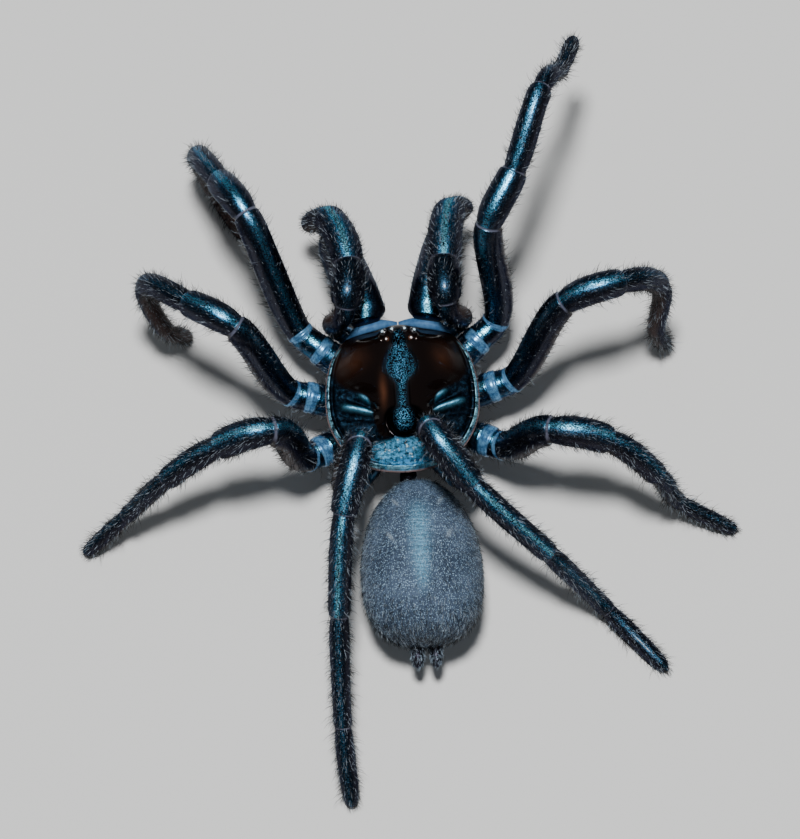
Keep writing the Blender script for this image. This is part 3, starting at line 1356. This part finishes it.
# %% Grow bristles on a skin
ROOT_DEPTH = 0.02
SCATTER = 0.14
BEND = 0.45
THICKNESS = (0.75, 1.2)
BOX_MARGIN = 0.3
BOX_LOW, BOX_HIGH = np.array(CAD_BOX) / MM
PATCH = 0.003
SPIKE_FACES = np.array([
    (0, 1, 4), (0, 4, 3), (3, 4, 6), (1, 2, 5), (1, 5, 4),
    (4, 5, 6), (2, 0, 3), (2, 3, 5), (5, 3, 6), (2, 1, 0),
])
SPIKE_UV = np.array([(0, 0), (0.5, 0), (1, 0), (0, 0.5), (0.5, 0.5), (1, 0.5), (0.5, 1)])
SPIKE_REACH = np.array([0, 0, 0, 0.5, 0.5, 0.5, 1.0])
SPIKE_POINTS = len(SPIKE_REACH)


def pick_roots(skin, weight, count):
    """Random roots on a skin, more of them where the weight is high."""
    rings = skin.rings
    around = np.roll(rings, -1, axis=1) - rings
    area = np.linalg.norm(np.cross(around[:-1], rings[1:] - rings[:-1]), axis=2)
    chance = area * np.broadcast_to(weight, (skin.count, skin.sides))[:-1]
    i, k = np.divmod(CHANCE.choice(chance.size, count, p=(chance / chance.sum()).ravel()), skin.sides)
    u, v = CHANCE.random((2, count))
    spots = np.column_stack([(i + u) / skin.count, (k + v) / skin.sides])
    after = (k + 1) % skin.sides
    u, v = u[:, None], v[:, None]

    def read(grid):
        low_side = grid[i, k] * (1 - v) + grid[i, after] * v
        high_side = grid[i + 1, k] * (1 - v) + grid[i + 1, after] * v
        return low_side * (1 - u) + high_side * u

    lie = unit(np.gradient(rings, axis=0))
    return read(rings), unit(read(skin.normals())), unit(read(lie)), spots


def grow(name, skin, weight, groups, finish, slot):
    """One piece of bristles, and how many it has. A group is a count, lengths, stands, a radius."""
    spikes, maps = [], []
    for count, lengths, stands, radius in groups:
        root, normal, lie, spots = pick_roots(skin, weight, count)
        length = CHANCE.uniform(*lengths, (count, 1))
        stand = CHANCE.uniform(*stands, (count, 1))
        first = unit(normal * stand + lie * (1 - stand) + CHANCE.normal(0, SCATTER, (count, 3)))
        second = unit(first + lie * BEND)
        aside = unit(np.cross(first, normal + 0.01))
        other = np.cross(first, aside)
        half = root + first * length / 2
        tip = half + second * length / 2
        thick = radius * CHANCE.uniform(*THICKNESS, (count, 1))
        points = []
        for centre, size in ((root - normal * ROOT_DEPTH, 1.0), (half, 0.75)):
            for turn in np.radians((0, 120, 240)):
                points.append(centre + thick * size * (math.cos(turn) * aside + math.sin(turn) * other))
        spike = np.stack([*points, tip], axis=1)
        inside = (tip > BOX_LOW - [BOX_MARGIN, BOX_MARGIN, 0]) & (tip < BOX_HIGH + BOX_MARGIN)
        inside = inside.all(axis=1)
        spikes.append(spike[inside])
        maps.append(spots[inside])
    return spike_piece(name, np.vstack(spikes), np.vstack(maps), finish)


def spike_piece(name, spikes, spots, finish):
    """A piece of spikes with a random shade for each and their patches on the colour map."""
    count = len(spikes)
    corner = (SPIKE_FACES[None] + SPIKE_POINTS * np.arange(count)[:, None, None]).reshape(-1)
    mesh = bpy.data.meshes.new(name)
    mesh.vertices.add(SPIKE_POINTS * count)
    mesh.vertices.foreach_set("co", (spikes * MM).reshape(-1))
    mesh.loops.add(len(corner))
    mesh.loops.foreach_set("vertex_index", corner)
    mesh.polygons.add(len(corner) // 3)
    mesh.polygons.foreach_set("loop_start", np.arange(0, len(corner), 3))
    mesh.update(calc_edges=True)
    patch = spots[:, None] * (1 - 2 * PATCH) + SPIKE_UV[None] * PATCH
    layer = mesh.uv_layers.new(name="OFBake")
    layer.data.foreach_set("uv", patch.reshape(-1, 2)[corner].reshape(-1).astype(np.float32))
    shades = np.repeat(CHANCE.random(count), SPIKE_POINTS)
    for mark, values in (("shade", shades), ("reach", np.tile(SPIKE_REACH, count))):
        mesh.attributes.new(mark, "FLOAT", "POINT").data.foreach_set("value", values.astype(np.float32))
    add_piece(name, mesh, finish)
    return count


def bristle_finish(name, dark, pale, pale_share):
    """Stiff hair, some of it pale, lighter towards the tips."""
    finish = Finish(name, Specular_IOR_Level=0.4)
    shade, reach = finish.marks("shade", "reach")
    lightness = shade.step(0.97 - pale_share, 1.03 - pale_share) * (0.5 + reach * 0.5)
    return finish.drive(Base_Color=finish.mix(lightness, dark, pale), Roughness=0.32 + shade * 0.15)


BRISTLE = bristle_finish(
    "bristle", dark=(0.003, 0.004, 0.006), pale=(0.45, 0.53, 0.62), pale_share=0.18
)
DOWN = bristle_finish("down", dark=(0.02, 0.03, 0.046), pale=(0.42, 0.55, 0.64), pale_share=0.3)
PALE_BRISTLE = bristle_finish(
    "pale_bristle", dark=(0.006, 0.009, 0.014), pale=(0.42, 0.54, 0.66), pale_share=0.45
)
print("A bristle has", len(SPIKE_FACES), "triangles")

# %% Grow the bristles of the limbs
BRISTLE_WEIGHTS = {
    "leg_1": (0.5, 0.5, 0.45, 0.5, 0.8, 1.0, 1.3),
    "leg_2": (0.5, 0.5, 0.5, 0.6, 0.9, 1.1, 1.3),
    "leg_3": (0.4, 0.4, 0.6, 0.9, 1.1, 1.2, 1.3),
    "leg_4": (0.4, 0.4, 0.6, 1.0, 1.1, 1.2, 1.3),
    "palp": (0.4, 0.4, 0.6, 0.8, 1.0, 1.4),
}
LIMB_BRISTLES = {"leg_1": 4600, "leg_2": 5200, "leg_3": 6800, "leg_4": 7000, "palp": 4200}
# The share of a limb's bristles, their lengths, how far they stand out, and their radius.
LIMB_COAT = (
    (0.62, (0.12, 0.3), (0.1, 0.4), 0.01),
    (0.35, (0.3, 0.58), (0.4, 0.75), 0.012),
    (0.03, (0.6, 0.95), (0.5, 0.8), 0.013),
)
PALP_BRISTLE_SIZE = 0.75
EVERYWHERE = 1e-6
grown = 0
for name, kind in LIMBS.items():
    skin = SKINS[name]
    weight = np.array(BRISTLE_WEIGHTS[kind])[skin.number][:, None]
    weight = weight * (1 - skin.marks["soft"]) * (1 - skin.marks["seam"]) + EVERYWHERE
    size = PALP_BRISTLE_SIZE if kind == "palp" else 1.0
    groups = [
        (int(LIMB_BRISTLES[kind] * share), np.multiply(lengths, size), stands, radius)
        for share, lengths, stands, radius in LIMB_COAT
    ]
    grown += grow(f"bristles_{name}", skin, weight, groups, BRISTLE, "cuticle")
print("Bristles on the limbs:", grown)

# %% Grow the bristles of the body
JAW_COAT = ((700, (0.15, 0.4), (0.15, 0.45), 0.012), (110, (0.5, 1.0), (0.5, 0.8), 0.014))
SPINNERET_COAT = ((460, (0.14, 0.34), (0.05, 0.3), 0.012),)
DOWN_COAT = ((14000, (0.1, 0.24), (0.15, 0.45), 0.0105),)
REAR_COAT = ((2600, (0.22, 0.5), (0.3, 0.6), 0.012),)
EDGE_COAT = ((260, (0.2, 0.45), (0.4, 0.8), 0.013),)
STERNUM_COAT = ((500, (0.3, 0.6), (0.4, 0.8), 0.015),)


def last_rings(skin):
    """A mask that is 1 at the last rings of a skin and 0 over its first half."""
    return ease(np.arange(skin.count) / skin.count, 0.6, 0.9)[:, None]


grown = 0
for side, sign in SIDES.items():
    skin = SKINS[f"chelicera_{side}"]
    across = skin.rings[..., 0] - skin.rings[..., 0].mean(axis=1, keepdims=True)
    weight = (0.35 + 0.65 * ease(across * sign, -0.2, 0.6)) * skin.marks["hairy"]
    grown += grow(f"bristles_chelicera_{side}", skin, weight, JAW_COAT, BRISTLE, "cuticle")
    skin = SKINS[f"spinneret_{side}"]
    weight = 1 - 0.8 * last_rings(skin)
    grown += grow(f"bristles_spinneret_{side}", skin, weight, SPINNERET_COAT, PALE_BRISTLE, "abdomen")
skin = SKINS["abdomen"]
grown += grow("down_abdomen", skin, 0.35 + skin.marks["upper"], DOWN_COAT, DOWN, "abdomen")
grown += grow("bristles_abdomen", skin, 0.15 + last_rings(skin), REAR_COAT, BRISTLE, "abdomen")
skin = SKINS["carapace"]
weight = skin.marks["rim"] * (1 - skin.marks["skirt"]) + EVERYWHERE
grown += grow("bristles_carapace", skin, weight, EDGE_COAT, BRISTLE, "carapace")
grown += grow("bristles_sternum", SKINS["sternum"], 1.0, STERNUM_COAT, BRISTLE, "cuticle")
print("Bristles on the body:", grown)

# %% [markdown]
# ## Claws
# Each foot ends in a pair of small curved claws, and each palp in one. They are thin horns
# that follow a short curve, bent down at the tip.

# %% Set the claws
CLAW_LENGTH = 0.34
CLAW_RADIUS = 0.05
CLAW_SPREAD = 0.1
CLAW_BEND = 0.55
CLAW_SUNK = 0.12
CLAW_RINGS = 14
CLAW_SIDES = 10


def claw_skin(root, ahead, down):
    """A curved horn from a root, first ahead and then down."""
    share = np.linspace(0, 1, CLAW_RINGS)[:, None]
    line = root + CLAW_LENGTH * (ahead * share * (1 - 0.25 * share) + down * CLAW_BEND * share**2)
    line[:, 2] = np.maximum(line[:, 2], CLAW_RADIUS)
    aside = unit(np.cross(ahead, down))
    above = np.cross(unit(np.gradient(line, axis=0)), aside)
    radius = CLAW_RADIUS * (1.02 - share) ** 0.7
    return Skin(rings_round(line, radius, radius, aside, above, CLAW_SIDES), tip=share)


for name, kind in LIMBS.items():
    ahead = SKINS[name].ahead[-1]
    down = unit(ahead * ahead[2] - UP)
    root = SKINS[name].rings[-1].mean(axis=0) - ahead * CLAW_SUNK
    offsets = (0.0,) if kind == "palp" else (-CLAW_SPREAD, CLAW_SPREAD)
    for i, offset in enumerate(offsets, 1):
        claw_skin(root + np.cross(ahead, down) * offset, ahead, down).piece(f"claw_{name}_{i}", FANG, "fang")
print("Claws", CLAW_LENGTH, "mm long")

# %% [markdown]
# ## Floor and light
# A pale matt floor keeps the eye on the model. One fairly small soft lamp straight above
# draws a bright line along every leg, as in the photograph, and the room's dim even light
# fills in the rest without drawing patches on the glossy head.

# %% Lay the floor and hang the lamp
FLOOR_SIZE = 900.0
LAMP_PLACE = (-5, -10, 340)
LAMP_SIZE = 50
LAMP_POWER = 1.6
WORLD_LIGHT = 0.16
WORLD_COLOUR = (0.75, 0.8, 0.85, 1)
PAPER_SHADE = (0.66, 0.66, 0.65)
PAPER_PALE = (0.7, 0.7, 0.69)


def floor_finish():
    """Matt off-white paper."""
    finish = Finish("floor", Roughness=0.85)
    return finish.drive(Base_Color=finish.mix(finish.noise(60, 2.0), PAPER_SHADE, PAPER_PALE))


edge = FLOOR_SIZE / 2 * MM
floor_mesh = bpy.data.meshes.new("floor")
floor_corners = [(-edge, -edge, 0), (edge, -edge, 0), (edge, edge, 0), (-edge, edge, 0)]
floor_mesh.from_pydata(floor_corners, [], [(0, 1, 2, 3)])
floor_mesh.materials.append(floor_finish())
add_object("floor", floor_mesh)
lamp = bpy.data.lights.new("key", "AREA")
lamp.shape = "DISK"
lamp.size = LAMP_SIZE * MM
lamp.energy = LAMP_POWER
holder = add_object("key", lamp)
holder.location = Vector(LAMP_PLACE) * MM
holder.rotation_euler = (-holder.location).to_track_quat("-Z", "Y").to_euler()
world = bpy.data.worlds.new("studio")
bpy.context.scene.world = world
world.use_nodes = True
background = world.node_tree.nodes["Background"]
background.inputs["Color"].default_value = WORLD_COLOUR
background.inputs["Strength"].default_value = WORLD_LIGHT
print("Floor", FLOOR_SIZE, "mm wide, lit by a lamp", LAMP_SIZE, "mm wide")
